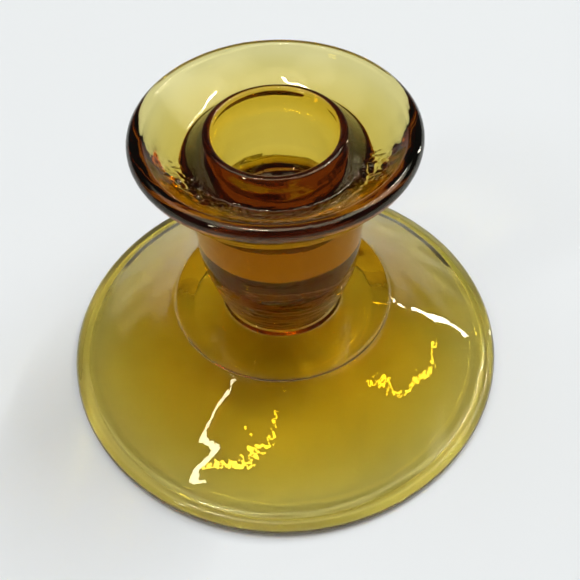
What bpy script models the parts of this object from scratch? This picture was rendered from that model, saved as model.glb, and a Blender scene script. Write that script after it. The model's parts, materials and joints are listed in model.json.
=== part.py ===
"""Low amber glass candlestick: a domed foot, a solid cup and a flared drip flange.

Every piece is turned about Z. Metres, +Z up, origin at the centre of the
circle that the foot rests on. Neighbouring pieces are fused hot on the real
object; here a hair gap keeps each one a solid of its own.
"""

import math

import bmesh
import bpy

MM = 0.001
SEGMENTS = 64  # facets round the axis
JOIN_GAP = 0.3 * MM  # left where two gathers of glass are fused
SHARP_ANGLE = math.radians(40)
GLASS_IOR = 1.52

# Foot: a hollow skirt with a beaded rim and a flat crown
FOOT_RADIUS = 51.0 * MM
BEAD_RADIUS = 1.9 * MM
BEARING_INNER_RADIUS = 47.6 * MM  # the flat ring that meets the table
BEARING_OUTER_RADIUS = 49.2 * MM
SKIRT_FOOT = (47.6 * MM, 3.9 * MM)  # (radius, height) where the skirt leaves the bead
CROWN_RADIUS = 25.4 * MM
CROWN_HEIGHT = 18.5 * MM
SKIRT_SAG = 0.9 * MM  # how far the skirt hangs below a straight cone
HOLLOW_FOOT = (45.0 * MM, 1.7 * MM)  # (radius, height) where the hollow starts
HOLLOW_EDGE = (20.0 * MM, 11.6 * MM)  # where its slope meets its ceiling
HOLLOW_CEILING_RADIUS = 17.0 * MM
HOLLOW_HEIGHT = 12.0 * MM

# Pad: the stepped disc on the crown
PAD_RADIUS = 24.6 * MM
PAD_EDGE = 1.1 * MM
PAD_RISE = 0.3 * MM
PAD_FLAT_RADIUS = 14.4 * MM

# Wafer: the thin disc that joins the cup to the pad
WAFER_RADIUS = 13.5 * MM
WAFER_HEIGHT = 1.0 * MM

# Cup: outer radius at a share of its height, from its base up
CUP_RADII = (
    (0.00, 12.9 * MM),
    (0.07, 14.2 * MM),
    (0.18, 15.45 * MM),
    (0.33, 16.7 * MM),
    (0.46, 17.2 * MM),
    (0.65, 17.55 * MM),
    (0.75, 18.1 * MM),
    (0.87, 19.1 * MM),
    (1.00, 20.2 * MM),
)
CUP_TOP = 57.0 * MM

# Socket: the tapered bore that takes the butt of a candle
SOCKET_FLOOR = 47.8 * MM
SOCKET_FILLET = 8.0 * MM
SOCKET_LOW_RADIUS = 10.9 * MM  # where the bore meets its fillet
SOCKET_MOUTH_RADIUS = 12.1 * MM

# Collar: the raised ring round the mouth of the socket
COLLAR_TOP = 67.1 * MM
COLLAR_BASE_RADIUS = 17.0 * MM
COLLAR_WAIST_RADIUS = 16.8 * MM
COLLAR_LIP_RADIUS = 12.95 * MM  # centre of the rounded lip
COLLAR_LIP_ROUND = 1.0 * MM

# Flange: the drip pan round the collar
FLANGE_RADIUS = 27.6 * MM
FLANGE_LIP_HEIGHT = 66.5 * MM  # centre of the rounded lip
FLANGE_LIP_ROUND = 1.8 * MM
CHANNEL_HEIGHT = 62.9 * MM  # lowest point of the wax channel
CHANNEL_WIDTH = 0.6 * MM
PAN_SAG = 0.35 * MM
FLANGE_NECK_RADIUS = 20.3 * MM
UNDERSIDE_BELLY = 1.0 * MM


def arc(centre, radius, start, end, steps):
    """Points (r, z) on an arc round centre, from angle start to end in degrees."""
    angles = [math.radians(start + (end - start) * i / steps) for i in range(steps + 1)]
    return [(centre[0] + radius * math.cos(a), centre[1] + radius * math.sin(a)) for a in angles]


def sagging_line(first, last, sag, steps):
    """Points between two (r, z) points, a parabola that hangs sag below the chord."""
    points = []
    for i in range(1, steps):
        t = i / steps
        r = first[0] + (last[0] - first[0]) * t
        z = first[1] + (last[1] - first[1]) * t - 4 * sag * t * (1 - t)
        points.append((r, z))
    return points


def smooth_through(knots, steps):
    """Points on a Catmull-Rom curve through (position, radius) knots."""
    padded = [knots[0]] + list(knots) + [knots[-1]]
    points = []
    for a, b, c, d in zip(padded, padded[1:], padded[2:], padded[3:]):
        for i in range(steps):
            t = i / steps
            points.append(
                tuple(
                    0.5 * (2 * q + (s - p) * t + (2 * p - 5 * q + 4 * s - u) * t**2
                           + (3 * q - p - 3 * s + u) * t**3)
                    for p, q, s, u in zip(a, b, c, d)
                )
            )
    return points + [knots[-1]]


def glass(name, colour, roughness):
    """Clear coloured glass. The deeper the piece, the browner its colour."""
    material = bpy.data.materials.new(name)
    material.use_nodes = True
    shader = material.node_tree.nodes["Principled BSDF"]
    shader.inputs["Base Color"].default_value = (*colour, 1)
    shader.inputs["Roughness"].default_value = roughness
    shader.inputs["Metallic"].default_value = 0
    shader.inputs["IOR"].default_value = GLASS_IOR
    shader.inputs["Transmission Weight"].default_value = 1
    return material


def turned(name, outline, material, ring=False):
    """Spins an outline of (r, z) points about Z. A ring's outline is a closed loop."""
    form = bmesh.new()
    corners = [form.verts.new((r, 0, z)) for r, z in outline]
    edges = [form.edges.new(pair) for pair in zip(corners, corners[1:])]
    if ring:
        edges.append(form.edges.new((corners[-1], corners[0])))
    bmesh.ops.spin(
        form, geom=corners + edges, cent=(0, 0, 0), axis=(0, 0, 1),
        angle=2 * math.pi, steps=SEGMENTS, use_merge=True,
    )
    bmesh.ops.remove_doubles(form, verts=form.verts, dist=0.001 * MM)
    bmesh.ops.recalc_face_normals(form, faces=form.faces)
    mesh = bpy.data.meshes.new(name)
    form.to_mesh(mesh)
    form.free()
    mesh.shade_smooth()
    mesh.set_sharp_from_angle(angle=SHARP_ANGLE)
    mesh.materials.append(material)
    bpy.context.scene.collection.objects.link(bpy.data.objects.new(name, mesh))


def foot():
    """Hollow skirt: bearing ring, beaded rim, skirt, flat crown and the hollow under it."""
    crown = (CROWN_RADIUS, CROWN_HEIGHT)
    outline = [(0, HOLLOW_HEIGHT), (HOLLOW_CEILING_RADIUS, HOLLOW_HEIGHT), HOLLOW_EDGE]
    outline += sagging_line(HOLLOW_EDGE, HOLLOW_FOOT, SKIRT_SAG, 8) + [HOLLOW_FOOT]
    outline += [(BEARING_INNER_RADIUS, 0), (BEARING_OUTER_RADIUS, 0)]
    outline += arc((FOOT_RADIUS - BEAD_RADIUS, BEAD_RADIUS), BEAD_RADIUS, -60, 100, 9)
    outline += [SKIRT_FOOT] + sagging_line(SKIRT_FOOT, crown, SKIRT_SAG, 8) + [crown]
    outline += [(0, CROWN_HEIGHT)]
    turned("foot", outline, glass("thin_amber", (0.37, 0.27, 0.045), 0.04))


def crown_pad(base):
    """Stepped disc on the crown, with a rounded edge and a barely domed top."""
    round_radius = PAD_EDGE / 2
    middle = base + round_radius
    edge = arc((PAD_RADIUS - round_radius, middle), round_radius, -90, 75, 6)
    top = base + PAD_EDGE + PAD_RISE
    outline = [(0, base)] + edge + [(PAD_FLAT_RADIUS, top), (0, top)]
    turned("crown_pad", outline, glass("pad_amber", (0.30, 0.17, 0.002), 0.04))
    return top


def joining_wafer(base):
    """Thin disc of hot glass that welds the cup to the pad, squeezed to a round edge."""
    half = WAFER_HEIGHT / 2
    edge = arc((WAFER_RADIUS - half, base + half), half, -90, 90, 6)
    outline = [(0, base)] + edge + [(0, base + WAFER_HEIGHT)]
    turned("joining_wafer", outline, glass("wafer_amber", (0.20, 0.04, 0.005), 0.03))
    return base + WAFER_HEIGHT


def socket_radius(height):
    """Radius of the tapered bore at a height above the table."""
    low = SOCKET_FLOOR + SOCKET_FILLET
    share = (height - low) / (COLLAR_TOP - low)
    return SOCKET_LOW_RADIUS + (SOCKET_MOUTH_RADIUS - SOCKET_LOW_RADIUS) * share


def candle_cup(base):
    """Solid bell with the blind socket bored into its top."""
    height = CUP_TOP - base
    bell = [(r, base + share * height) for share, r in smooth_through(CUP_RADII, 2)]
    fillet_centre = (SOCKET_LOW_RADIUS - SOCKET_FILLET, SOCKET_FLOOR + SOCKET_FILLET)
    bore = [(socket_radius(CUP_TOP), CUP_TOP)]
    bore += arc(fillet_centre, SOCKET_FILLET, 0, -90, 7)
    outline = [(0, base)] + bell + bore + [(0, SOCKET_FLOOR)]
    turned("candle_cup", outline, glass("deep_amber", (0.12, 0.04, 0.002), 0.02))


def socket_collar():
    """Raised conical ring round the mouth, which steadies the candle."""
    base = CUP_TOP + JOIN_GAP
    lip_centre = (COLLAR_LIP_RADIUS, COLLAR_TOP - COLLAR_LIP_ROUND)
    bore_top = COLLAR_TOP - 1.5 * COLLAR_LIP_ROUND
    outline = [(socket_radius(base), base), (COLLAR_BASE_RADIUS, base)]
    outline += [(COLLAR_WAIST_RADIUS, CHANNEL_HEIGHT)]
    outline += arc(lip_centre, COLLAR_LIP_ROUND, 10, 140, 6)
    outline += [(socket_radius(bore_top), bore_top)]
    turned("socket_collar", outline, glass("collar_amber", (0.08, 0.02, 0.002), 0.02), ring=True)


def drip_flange():
    """Flared pan round the collar: a wax channel inside and a rounded lip outside."""
    base = CUP_TOP + JOIN_GAP
    inner = COLLAR_BASE_RADIUS + JOIN_GAP
    lip_centre = (FLANGE_RADIUS - FLANGE_LIP_ROUND, FLANGE_LIP_HEIGHT)
    lip = arc(lip_centre, FLANGE_LIP_ROUND, -62, 125, 10)
    neck = (FLANGE_NECK_RADIUS, base)
    underside = sagging_line(neck, lip[0], UNDERSIDE_BELLY, 6)
    channel = (inner + CHANNEL_WIDTH, CHANNEL_HEIGHT)
    pan = sagging_line(lip[-1], channel, PAN_SAG, 5)
    outline = [(inner, base), neck] + underside + lip + pan + [channel, (inner, CHANNEL_HEIGHT)]
    turned("drip_flange", outline, glass("flange_amber", (0.48, 0.37, 0.09), 0.02), ring=True)


def clear_scene():
    for leftover in list(bpy.data.objects):
        bpy.data.objects.remove(leftover)


def main():
    clear_scene()
    foot()
    pad_top = crown_pad(CROWN_HEIGHT + JOIN_GAP)
    wafer_top = joining_wafer(pad_top + JOIN_GAP)
    candle_cup(wafer_top + JOIN_GAP)
    socket_collar()
    drip_flange()


main()
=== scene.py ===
"""Looks of the amber glass candlestick: one skin of fire-polished glass over the six CAD sections.

The real object is a single mass of glass, so light crosses it without meeting an inner wall. A skin
turned from one outline therefore stands for all six nodes. Metres, +Z up, with the circle that the
foot rests on centred on the origin. The outline itself is worked out in millimetres.
"""

import json
import math

import bpy
import numpy as np
from mathutils import Matrix, Vector


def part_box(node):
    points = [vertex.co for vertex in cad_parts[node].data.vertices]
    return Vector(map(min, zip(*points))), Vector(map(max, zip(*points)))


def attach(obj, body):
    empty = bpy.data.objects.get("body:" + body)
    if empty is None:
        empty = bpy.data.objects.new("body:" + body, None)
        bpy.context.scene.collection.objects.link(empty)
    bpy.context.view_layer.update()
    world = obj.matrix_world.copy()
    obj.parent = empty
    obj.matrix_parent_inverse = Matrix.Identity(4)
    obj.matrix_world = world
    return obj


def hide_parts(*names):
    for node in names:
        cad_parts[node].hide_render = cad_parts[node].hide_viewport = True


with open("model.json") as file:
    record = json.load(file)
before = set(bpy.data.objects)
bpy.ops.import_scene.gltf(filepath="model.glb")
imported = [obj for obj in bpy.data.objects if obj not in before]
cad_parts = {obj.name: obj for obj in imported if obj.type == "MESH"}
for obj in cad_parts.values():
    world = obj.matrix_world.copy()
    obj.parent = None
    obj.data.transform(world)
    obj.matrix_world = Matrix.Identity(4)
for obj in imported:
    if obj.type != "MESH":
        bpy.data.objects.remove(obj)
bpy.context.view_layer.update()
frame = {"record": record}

MM = 0.001

# ---------------------------------------------------------------- sizes that the frame states


def corners(node):
    """The low and the high corner of a node's box, in millimetres."""
    return [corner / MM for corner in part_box(node)]


FOOT = corners("foot")[1]
PAD = corners("crown_pad")[1]
WAFER = corners("joining_wafer")[1]
CUP_LOW, CUP = corners("candle_cup")
COLLAR = corners("socket_collar")[1]
FLANGE = corners("drip_flange")[1]
MOUNTS = {mount["name"]: mount for mount in frame["record"]["mounts"]}

FOOT_RADIUS = FOOT.x
CROWN_HEIGHT = FOOT.z
PAD_RADIUS = PAD.x
PAD_TOP = PAD.z
WAFER_RADIUS = WAFER.x
WAFER_TOP = WAFER.z
CUP_BASE = CUP_LOW.z
CUP_TOP = CUP.z
CUP_TOP_RADIUS = CUP.x
SOCKET_FLOOR = MOUNTS["socket_floor"]["pos_m"][2] / MM
COLLAR_TOP = COLLAR.z
COLLAR_RADIUS = COLLAR.x
FLANGE_RADIUS = FLANGE.x
FLANGE_TOP = FLANGE.z

# ---------------------------------------------------------------- sizes in millimetres, as the CAD has them

# Foot. BEARING is the ring's inner and outer radius, and the pairs after it are (radius, height).
BEAD_ROUND = 1.9
BEAD_ARC = (-87, 100)  # degrees round the bead, from the bearing ring to the skirt
BEARING = (47.6, 49.2)
SKIRT_FOOT = (47.6, 3.9)
CROWN_RADIUS = 25.4
SKIRT_SAG = 0.9
HOLLOW_FOOT = (45.0, 1.7)
HOLLOW_EDGE = (20.0, 11.6)
HOLLOW_CEILING = (17.0, 12.0)

# Cup and socket. The cup's side is given as (share of its height, radius).
CUP_RADII = (
    (0, 12.9),
    (0.07, 14.2),
    (0.18, 15.45),
    (0.33, 16.7),
    (0.46, 17.2),
    (0.65, 17.55),
    (0.75, 18.1),
    (0.87, 19.1),
    (1, 20.2),
)
SOCKET_LOW_RADIUS = 10.9
SOCKET_FILLET = 8.0
MOUTH_ROUND = 1.0
MOUTH_RADIUS = 12.95  # to the centre of the mouth's rounded edge
MOUTH_ARC = (35, 185)  # degrees round the mouth's edge, from the collar to the bore

# Flange
LIP_ROUND = 1.8
LIP_ARC = (-62, 125)  # degrees round the lip, from the underside to the pan
BELLY = 1.0  # how far the underside bulges below its chord
CHANNEL_HEIGHT = 62.9
CHANNEL_WIDTH = 0.6
PAN_SAG = 0.35

# ---------------------------------------------------------------- surface, in millimetres

AROUND = 336  # columns round the axis
FLAT_BELOW = 0.01  # height under which the bearing ring has no waves
FLOOR_DROP = 0.08  # the bearing ring's high spots hold the foot this far off the floor

# Fire polishing, by stretch of the outline: the depth of its slow swell and of its short ripple
SWELL_DEPTH = {
    "hollow": 0.03,
    "skirt": 0.05,
    "crown": 0.03,
    "cup": 0.03,
    "flare": 0.03,
    "pan": 0.05,
    "socket": 0.03,
}
SHORT_DEPTH = {
    "hollow": 0.006,
    "skirt": 0.05,
    "crown": 0.014,
    "cup": 0.007,
    "flare": 0.01,
    "pan": 0.01,
    "socket": 0.008,
}
REST_SWELL = 0.01  # on the stretches that aren't named above
REST_SHORT = 0.0025
TURNING_DEPTH = {"cup": 0.035, "flare": 0.012, "collar": 0.006, "socket": 0.010}

# The ridge where the two halves of the mould met
SEAM_DEPTH = {"cup": 0.15, "flare": 0.10, "lip": 0.06}
SEAM_AZIMUTH = math.radians(102)  # and the one opposite
SEAM_HALF_ANGLE = 0.018  # radians

# Chilled patches of the pan: (azimuth and spread in degrees, reach along the outline, depth)
WRINKLES = ((-140, 17, 4.2, 0.22), (-30, 14, 3.6, 0.20), (-88, 36, 3.0, 0.05))
WRINKLE_INSET = 0.35  # how far a patch's middle lies from the channel, as a share of its reach
COARSE_SHARE = 0.7  # the coarse folds' depth beside the fine ones'

# Seed, highest order round the axis, highest wave in radians a millimetre, and number of waves
HOLLOW_SWELL = (5, 7, 0.4, 14)
HOLLOW_SHORT = (8, 26, 0.75, 14)
OUTER_SWELL = (11, 7, 0.4, 14)
OUTER_SHORT = (23, 26, 0.75, 14)
TURNING = (41, 2, 2.2, 14)
FINE_FOLDS = (31, 90, 4.5, 24)
COARSE_FOLDS = (37, 45, 2.2, 16)

# ---------------------------------------------------------------- glass and light

GLASS_IOR = 1.52
WALL_COLOUR = (0.915, 0.93, 0.86, 1)  # slightly grey, so each wall takes a little light
REFLECTION_TINT = (1.0, 0.95, 0.66, 1)  # slightly amber
DEPTH_COLOUR = (0.888, 0.778, 0.05, 1)
DEPTH_DENSITY = 300  # a metre
RIPPLE_SCALE = 620  # lumps a metre in the skin's finest ripple
RIPPLE_DEPTH = 0.015  # millimetres
SCUFF_HEIGHT = 0.25  # millimetres above the plane of the bearing ring, where the scuffs of use end
SCUFF_ROUGHNESS = 0.3

FLOOR_HALF = 3.0  # metres
FLOOR_COLOUR = (0.80, 0.825, 0.83, 1)

ROOM_DIM = 0.06  # strength of the sky above the haze
HORIZON_HAZE = 0.7  # and at the horizon
HAZE_TOP = 13  # degrees above the horizon
# Soft glows: (azimuth, elevation, inner reach, outer reach, strength), with angles in degrees
GLOWS = (
    (20, 54, 9, 23, 3.0),
    (154, 61, 9, 22, 1.3),
    (-22, 67, 5, 16, 2.0),
    (-158, 67, 5, 16, 1.4),
    (0, 90, 9, 17, 2.3),
)
LAMP_DISTANCE = 2.0  # metres
# Lamps: (name, azimuth, elevation, turn, (width, length) in metres, radiance), with angles in degrees
LAMPS = (
    ("left_lamp", -143, 43, 0, (0.10, 0.42), 21),
    ("right_lamp", 31, 12.5, 0, (0.072, 0.34), 26),
    ("left_ceiling_tube", 171.5, 81, -41, (0.028, 0.70), 110),
    ("right_ceiling_tube", 34, 55.5, 49, (0.026, 0.95), 115),
)

CAMERA_PLACE = (0.00008, -0.11776, 0.16661)  # metres
CAMERA_LENS = 50.75  # millimetres, on a sensor 36 mm wide
CAMERA_PITCH = math.radians(51.37)  # down from level
CAMERA_YAW = math.radians(0.8)
CAMERA_ROLL = math.radians(-2.085)


# ---------------------------------------------------------------- outline


def line(first, last, spacing, sag=0.0):
    """Even steps between two (r, z) points, less the last. A parabola hangs sag below the chord."""
    first, last = np.array(first, float), np.array(last, float)
    count = max(1, round(float(np.hypot(*(last - first))) / spacing))
    t = np.arange(count)[:, None] / count
    points = first + (last - first) * t
    points[:, 1] -= 4 * sag * (t * (1 - t))[:, 0]
    return points


def arc(centre, radius, start, end, spacing):
    """Even steps on a circle of that radius round centre, from angle start to angle end in degrees,
    less the last."""
    count = max(3, round(radius * abs(math.radians(end - start)) / spacing))
    angle = np.radians(start + (end - start) * np.arange(count) / count)
    return np.stack([centre[0] + radius * np.cos(angle), centre[1] + radius * np.sin(angle)], -1)


def point_on(centre, radius, angle):
    """The (r, z) point of a circle at that angle in degrees."""
    return arc(centre, radius, angle, angle + 1, 1)[0]


def bell(knots, low, high, spacing):
    """The cup's side: a smooth curve through knots of (share of height, radius), less its last point."""
    share, radius = np.array(knots).T
    height = low + share * (high - low)
    slope = np.gradient(radius, height)
    z = np.linspace(low, high, round((high - low) / spacing), endpoint=False)
    k = np.clip(np.searchsorted(height, z, side="right") - 1, 0, len(height) - 2)
    span = height[k + 1] - height[k]
    t = (z - height[k]) / span
    # Cubic Hermite: each span meets its knots with the slope that the neighbouring knots give
    r = (2 * t**3 - 3 * t**2 + 1) * radius[k] + (t**3 - 2 * t**2 + t) * span * slope[k]
    r += (3 * t**2 - 2 * t**3) * radius[k + 1] + (t**3 - t**2) * span * slope[k + 1]
    return np.stack([r, z], -1)


def outline():
    """[(stretch, points)] from the middle of the foot's underside, out, up and over, to the middle of
    the socket. The number that ends a line or an arc is the spacing of its points, and a sag may
    follow. Offsets of up to a millimetre bridge the gaps between sections and round their corners."""
    lip = (FLANGE_RADIUS - LIP_ROUND, FLANGE_TOP - LIP_ROUND)
    mouth = (MOUTH_RADIUS, COLLAR_TOP - MOUTH_ROUND)
    bead = (FOOT_RADIUS - BEAD_ROUND, BEAD_ROUND)
    bead_end = point_on(bead, BEAD_ROUND, BEAD_ARC[1])
    lip_low, lip_high = (point_on(lip, LIP_ROUND, angle) for angle in LIP_ARC)
    mouth_out, mouth_in = (point_on(mouth, MOUTH_ROUND, angle) for angle in MOUTH_ARC)
    fillet = (SOCKET_LOW_RADIUS - SOCKET_FILLET, SOCKET_FLOOR + SOCKET_FILLET)
    crown_edge = (CROWN_RADIUS, CROWN_HEIGHT)
    pad_edge = (PAD_RADIUS - 0.5, PAD_TOP - 0.3)
    channel_in = (COLLAR_RADIUS + 0.1, CHANNEL_HEIGHT + 0.1)
    channel_out = (channel_in[0] + CHANNEL_WIDTH, CHANNEL_HEIGHT + 0.2)
    return [
        ("hollow", line((0, HOLLOW_CEILING[1]), HOLLOW_CEILING, 1.8)),
        ("hollow", line(HOLLOW_CEILING, HOLLOW_EDGE, 0.9)),
        ("hollow", line(HOLLOW_EDGE, HOLLOW_FOOT, 1.1, SKIRT_SAG)),
        ("rim", line(HOLLOW_FOOT, (BEARING[0], 0), 0.6)),
        ("rim", line((BEARING[0], 0), (BEARING[1], 0), 0.5)),
        ("rim", arc(bead, BEAD_ROUND, *BEAD_ARC, 0.38)),
        ("rim", line(bead_end, SKIRT_FOOT, 0.4)),
        ("skirt", line(SKIRT_FOOT, crown_edge, 0.8, SKIRT_SAG)),
        ("step", line(crown_edge, (PAD_RADIUS + 0.1, CROWN_HEIGHT + 0.35), 0.3)),
        ("step", arc((PAD_RADIUS - 0.55, PAD_TOP - 0.85), 0.6, 0, 80, 0.16)),
        ("crown", line(pad_edge, (WAFER_RADIUS + 0.9, PAD_TOP), 0.9)),
        ("wafer", arc((WAFER_RADIUS + 0.7, PAD_TOP + 0.6), 0.6, 270, 190, 0.18)),
        ("wafer", arc((WAFER_RADIUS - 0.4, WAFER_TOP - 0.35), 0.4, 0, 90, 0.16)),
        ("wafer", line((WAFER_RADIUS - 0.45, WAFER_TOP + 0.08), (CUP_RADII[0][1], CUP_BASE), 0.2)),
        ("cup", bell(CUP_RADII, CUP_BASE, CUP_TOP, 0.78)),
        ("flare", line((CUP_TOP_RADIUS, CUP_TOP), lip_low, 0.6, BELLY)),
        ("lip", arc(lip, LIP_ROUND, *LIP_ARC, 0.34)),
        ("pan", line(lip_high, channel_out, 0.36, PAN_SAG)),
        ("pan", line(channel_out, channel_in, 0.25, 0.05)),
        ("collar", line(channel_in, mouth_out, 0.4)),
        ("mouth", arc(mouth, MOUTH_ROUND, *MOUTH_ARC, 0.22)),
        ("socket", line(mouth_in, (SOCKET_LOW_RADIUS, fillet[1]), 0.8)),
        ("socket", arc(fillet, SOCKET_FILLET, 0, -90, 0.7)),
        ("socket", line((fillet[0], SOCKET_FLOOR), (0, SOCKET_FLOOR), 0.8)),
    ]


# ---------------------------------------------------------------- surface of the glass


def swell(azimuth, along, seed, orders, waves, count):
    """A smooth random field with a spread of about 1: a sum of count cosines, each of
    order x azimuth + wave x along + a random start. Orders are whole numbers within +-orders, and
    waves lie within +-waves, in radians a millimetre."""
    draw = np.random.default_rng(seed)
    total = np.zeros(np.broadcast(azimuth, along).shape)
    for _ in range(count):
        order = draw.integers(-orders, orders + 1)
        wave = draw.uniform(-waves, waves)
        total += np.cos(order * azimuth + wave * along + draw.uniform(0, 2 * math.pi))
    return total / math.sqrt(count / 2)


def by_stretch(stretch, values, rest):
    """One value for each outline point: its stretch's own, or rest where that stretch isn't named."""
    return np.array([values.get(name, rest) for name in stretch])[:, None]


def fire_waves(azimuth, along, stretch):
    """Height of the waves in the skin: a slow swell and a shorter ripple, left by fire polishing, and
    shallow turnings. The hollow has waves of its own, because another tool pressed it."""
    under = (stretch == "hollow")[:, None]
    swells = np.where(under, swell(azimuth, along, *HOLLOW_SWELL), swell(azimuth, along, *OUTER_SWELL))
    ripples = np.where(under, swell(azimuth, along, *HOLLOW_SHORT), swell(azimuth, along, *OUTER_SHORT))
    height = by_stretch(stretch, SWELL_DEPTH, REST_SWELL) * swells
    height += by_stretch(stretch, SHORT_DEPTH, REST_SHORT) * ripples
    return height + by_stretch(stretch, TURNING_DEPTH, 0.0) * swell(azimuth, along, *TURNING)


def mould_seam(azimuth, stretch):
    """Height of the fine ridge where the two halves of the mould met: depth x exp(-(a / h)^2), where a
    is the azimuth from the nearer seam and h is the seam's half angle."""
    across = np.angle(np.exp(2j * (azimuth - SEAM_AZIMUTH))) / 2
    return by_stretch(stretch, SEAM_DEPTH, 0.0) * np.exp(-((across / SEAM_HALF_ANGLE) ** 2))


def chill_wrinkles(azimuth, along, stretch):
    """Height of the wrinkles that hot glass took on as it met the cold plunger by the wax channel:
    crumpled waves inside patches of the pan, each a bell curve in azimuth and along the outline."""
    inner = along[np.flatnonzero(stretch == "pan")[-1]]
    height = np.zeros(np.broadcast(azimuth, along).shape)
    for place, spread, reach, depth in WRINKLES:
        across = np.angle(np.exp(1j * (azimuth - math.radians(place)))) / math.radians(spread)
        patch = np.exp(-(across**2) - ((inner - WRINKLE_INSET * reach - along) / reach) ** 2)
        folds = swell(azimuth, along, *FINE_FOLDS) + COARSE_SHARE * swell(azimuth, along, *COARSE_FOLDS)
        height += depth * patch * folds
    return np.where((stretch == "pan")[:, None], height, 0)


def glass_skin():
    """The outline turned about Z: point (i, j) is outline point i at azimuth 2 pi j / AROUND, pushed by
    the waves along the outline's outward normal. The bearing ring stays flat. Each end of the outline
    is closed by a fan to one point on the axis."""
    stretches = outline()
    points = np.concatenate([part for _, part in stretches])
    stretch = np.concatenate([[name] * len(part) for name, part in stretches])
    tangent = np.gradient(points, axis=0)
    tangent /= np.linalg.norm(tangent, axis=1, keepdims=True)
    normal = np.stack([tangent[:, 1], -tangent[:, 0]], -1)
    along = np.concatenate([[0], np.cumsum(np.linalg.norm(np.diff(points, axis=0), axis=1))])
    azimuth = 2 * math.pi * np.arange(AROUND) / AROUND

    ring = slice(1, None)
    around, out = azimuth[None, :], along[ring, None]
    height = fire_waves(around, out, stretch[ring]) + mould_seam(around, stretch[ring])
    height += chill_wrinkles(around, out, stretch[ring])
    height[points[ring, 1] < FLAT_BELOW] = 0
    r = points[ring, 0][:, None] + normal[ring, 0][:, None] * height
    z = points[ring, 1][:, None] + normal[ring, 1][:, None] * height
    shell = np.stack([r * np.cos(azimuth), r * np.sin(azimuth), z], -1).reshape(-1, 3)
    rows = len(points) - 1
    vertices = np.concatenate([shell, [[0, 0, points[0, 1]], [0, 0, SOCKET_FLOOR]]]) * MM

    i, j = np.meshgrid(np.arange(rows - 1), np.arange(AROUND), indexing="ij")
    k = (j + 1) % AROUND
    near, far = i * AROUND, (i + 1) * AROUND
    quads = np.stack([near + j, near + k, far + k, far + j], -1).reshape(-1, 4)
    j = np.arange(AROUND)
    k = (j + 1) % AROUND
    under = np.stack([np.full(AROUND, rows * AROUND), k, j], -1)
    last = (rows - 1) * AROUND
    floor = np.stack([np.full(AROUND, rows * AROUND + 1), last + j, last + k], -1)
    return surface("candlestick_glass", vertices, quads.tolist() + under.tolist() + floor.tolist())


def surface(name, vertices, faces):
    """A smooth-shaded object with that mesh, in the scene."""
    mesh = bpy.data.meshes.new(name)
    mesh.from_pydata(vertices.tolist(), [], faces)
    mesh.shade_smooth()
    mesh.update()
    piece = bpy.data.objects.new(name, mesh)
    bpy.context.scene.collection.objects.link(piece)
    return piece


# ---------------------------------------------------------------- materials


def amber_glass():
    """Clear amber glass: its colour comes from depth, as light loses blue first, then green, then red.
    Its skin has a fine pressed ripple, and the ring that it stands on is scuffed. Two settings are
    chosen for looks alone: the slightly grey walls and the slightly amber reflections."""
    material = bpy.data.materials.new("amber_glass")
    material.use_nodes = True
    tree = material.node_tree
    shader = tree.nodes["Principled BSDF"]
    shader.inputs["Base Color"].default_value = WALL_COLOUR
    shader.inputs["Specular Tint"].default_value = REFLECTION_TINT
    shader.inputs["IOR"].default_value = GLASS_IOR
    shader.inputs["Transmission Weight"].default_value = 1.0
    place = tree.nodes.new("ShaderNodeTexCoord")
    ripple = tree.nodes.new("ShaderNodeTexNoise")
    ripple.inputs["Scale"].default_value = RIPPLE_SCALE
    ripple.inputs["Detail"].default_value = 1.0
    tree.links.new(place.outputs["Object"], ripple.inputs["Vector"])
    relief = tree.nodes.new("ShaderNodeBump")
    relief.inputs["Strength"].default_value = 1.0
    relief.inputs["Distance"].default_value = RIPPLE_DEPTH * MM
    tree.links.new(ripple.outputs["Fac"], relief.inputs["Height"])
    tree.links.new(relief.outputs["Normal"], shader.inputs["Normal"])
    height = tree.nodes.new("ShaderNodeSeparateXYZ")
    tree.links.new(place.outputs["Object"], height.inputs["Vector"])
    scuff = tree.nodes.new("ShaderNodeMapRange")
    scuff.interpolation_type = "SMOOTHSTEP"
    scuff.inputs["From Max"].default_value = SCUFF_HEIGHT * MM
    scuff.inputs["To Min"].default_value = SCUFF_ROUGHNESS
    scuff.inputs["To Max"].default_value = 0.0
    tree.links.new(height.outputs["Z"], scuff.inputs["Value"])
    tree.links.new(scuff.outputs["Result"], shader.inputs["Roughness"])
    depth = tree.nodes.new("ShaderNodeVolumeAbsorption")
    depth.inputs["Color"].default_value = DEPTH_COLOUR
    depth.inputs["Density"].default_value = DEPTH_DENSITY
    tree.links.new(depth.outputs["Volume"], tree.nodes["Material Output"].inputs["Volume"])
    return material


# ---------------------------------------------------------------- stage, light and camera


def pale_floor():
    """A plain matt square, just under the foot."""
    half, z = FLOOR_HALF, -FLOOR_DROP * MM
    vertices = np.array([[-half, -half, z], [half, -half, z], [half, half, z], [-half, half, z]])
    floor = surface("floor", vertices, [[0, 1, 2, 3]])
    material = bpy.data.materials.new("pale_floor")
    material.use_nodes = True
    shader = material.node_tree.nodes["Principled BSDF"]
    shader.inputs["Base Color"].default_value = FLOOR_COLOUR
    shader.inputs["Roughness"].default_value = 0.9
    shader.inputs["Specular IOR Level"].default_value = 0.0
    floor.data.materials.append(material)


def direction(azimuth, elevation):
    """The unit vector towards that direction in degrees."""
    a, e = math.radians(azimuth), math.radians(elevation)
    return Vector((math.cos(a) * math.cos(e), math.sin(a) * math.cos(e), math.sin(e)))


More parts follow.
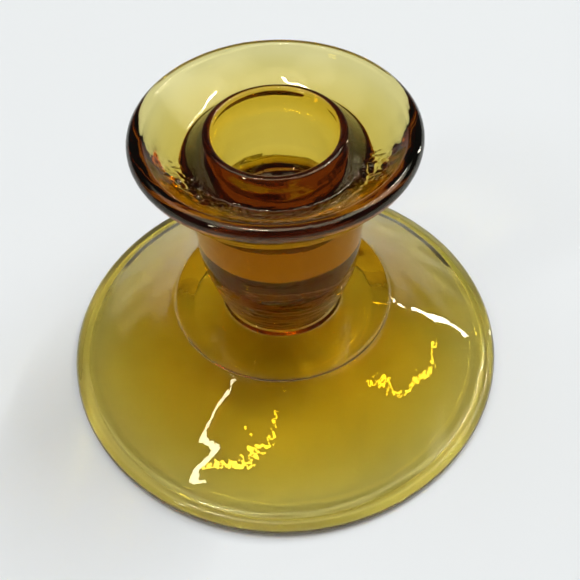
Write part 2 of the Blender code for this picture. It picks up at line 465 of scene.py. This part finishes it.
def studio_sky():
    """A dim room with a pale haze along the horizon and soft round glows. Each glow is full within its
    inner reach, and gone at its outer one."""
    world = bpy.data.worlds.new("studio")
    world.use_nodes = True
    bpy.context.scene.world = world
    tree = world.node_tree
    place = tree.nodes.new("ShaderNodeTexCoord")
    height = tree.nodes.new("ShaderNodeSeparateXYZ")
    rise = tree.nodes.new("ShaderNodeMapRange")
    rise.interpolation_type = "SMOOTHSTEP"
    rise.inputs["From Max"].default_value = math.sin(math.radians(HAZE_TOP))
    rise.inputs["To Min"].default_value = HORIZON_HAZE
    rise.inputs["To Max"].default_value = ROOM_DIM
    tree.links.new(place.outputs["Generated"], height.inputs["Vector"])
    tree.links.new(height.outputs["Z"], rise.inputs["Value"])
    total = rise.outputs["Result"]
    for azimuth, elevation, inner, outer, strength in GLOWS:
        aim = tree.nodes.new("ShaderNodeVectorMath")
        aim.operation = "DOT_PRODUCT"
        aim.inputs[1].default_value = direction(azimuth, elevation)
        fade = tree.nodes.new("ShaderNodeMapRange")
        fade.interpolation_type = "SMOOTHSTEP"
        fade.inputs["From Min"].default_value = math.cos(math.radians(outer))
        fade.inputs["From Max"].default_value = math.cos(math.radians(inner))
        fade.inputs["To Min"].default_value = 0
        fade.inputs["To Max"].default_value = strength
        tree.links.new(place.outputs["Generated"], aim.inputs[0])
        tree.links.new(aim.outputs["Value"], fade.inputs["Value"])
        add = tree.nodes.new("ShaderNodeMath")
        tree.links.new(total, add.inputs[0])
        tree.links.new(fade.outputs["Result"], add.inputs[1])
        total = add.outputs["Value"]
    tree.links.new(total, tree.nodes["Background"].inputs["Strength"])
    tree.nodes["Background"].inputs["Color"].default_value = (1, 1, 1, 1)


def lamp(name, azimuth, elevation, turn, size, radiance):
    """A rectangular lamp that faces the candlestick from that direction. Its length points up when
    turn is 0. Its power is pi x area x radiance."""
    light = bpy.data.lights.new(name, "AREA")
    light.shape = "RECTANGLE"
    light.size, light.size_y = size
    light.energy = math.pi * size[0] * size[1] * radiance
    away = direction(azimuth, elevation)
    holder = bpy.data.objects.new(name, light)
    facing = away.to_track_quat("Z", "Y").to_matrix() @ Matrix.Rotation(math.radians(turn), 3, "Z")
    holder.matrix_world = Matrix.Translation(away * LAMP_DISTANCE) @ facing.to_4x4()
    bpy.context.scene.collection.objects.link(holder)


def camera():
    """Looks down on the candlestick from in front, from about 20 cm away."""
    data = bpy.data.cameras.new("camera")
    data.sensor_width = 36
    data.lens = CAMERA_LENS
    data.clip_start = 0.01
    holder = bpy.data.objects.new("camera", data)
    level = math.cos(CAMERA_PITCH)
    ahead, aside = math.cos(CAMERA_YAW), math.sin(CAMERA_YAW)
    forward = Vector((aside * level, ahead * level, -math.sin(CAMERA_PITCH)))
    right = Vector((ahead, -aside, 0))
    up = right.cross(forward)
    turn = Matrix((right, up, -forward)).transposed() @ Matrix.Rotation(CAMERA_ROLL, 3, "Z")
    holder.matrix_world = Matrix.Translation(CAMERA_PLACE) @ turn.to_4x4()
    bpy.context.scene.collection.objects.link(holder)
    bpy.context.scene.camera = holder


def light_paths():
    """Lets light cross many walls of glass and gather under them, and keeps the colours as lit. Only
    very bright indirect light is clamped, against sparks."""
    scene = bpy.context.scene
    scene.view_settings.view_transform = "Standard"
    scene.cycles.max_bounces = 24
    scene.cycles.transmission_bounces = 24
    scene.cycles.glossy_bounces = 12
    scene.cycles.diffuse_bounces = 4
    scene.cycles.caustics_refractive = True
    scene.cycles.caustics_reflective = True
    scene.cycles.blur_glossy = 0.0
    scene.cycles.sample_clamp_indirect = 32
    scene.cycles.use_denoising = True


# ---------------------------------------------------------------- the candlestick

camera()
light_paths()
pale_floor()
studio_sky()
for details in LAMPS:
    lamp(*details)

glass = glass_skin()
glass.data.materials.append(amber_glass())
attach(glass, "root")
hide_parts("foot", "crown_pad", "joining_wafer", "candle_cup", "socket_collar", "drip_flange")
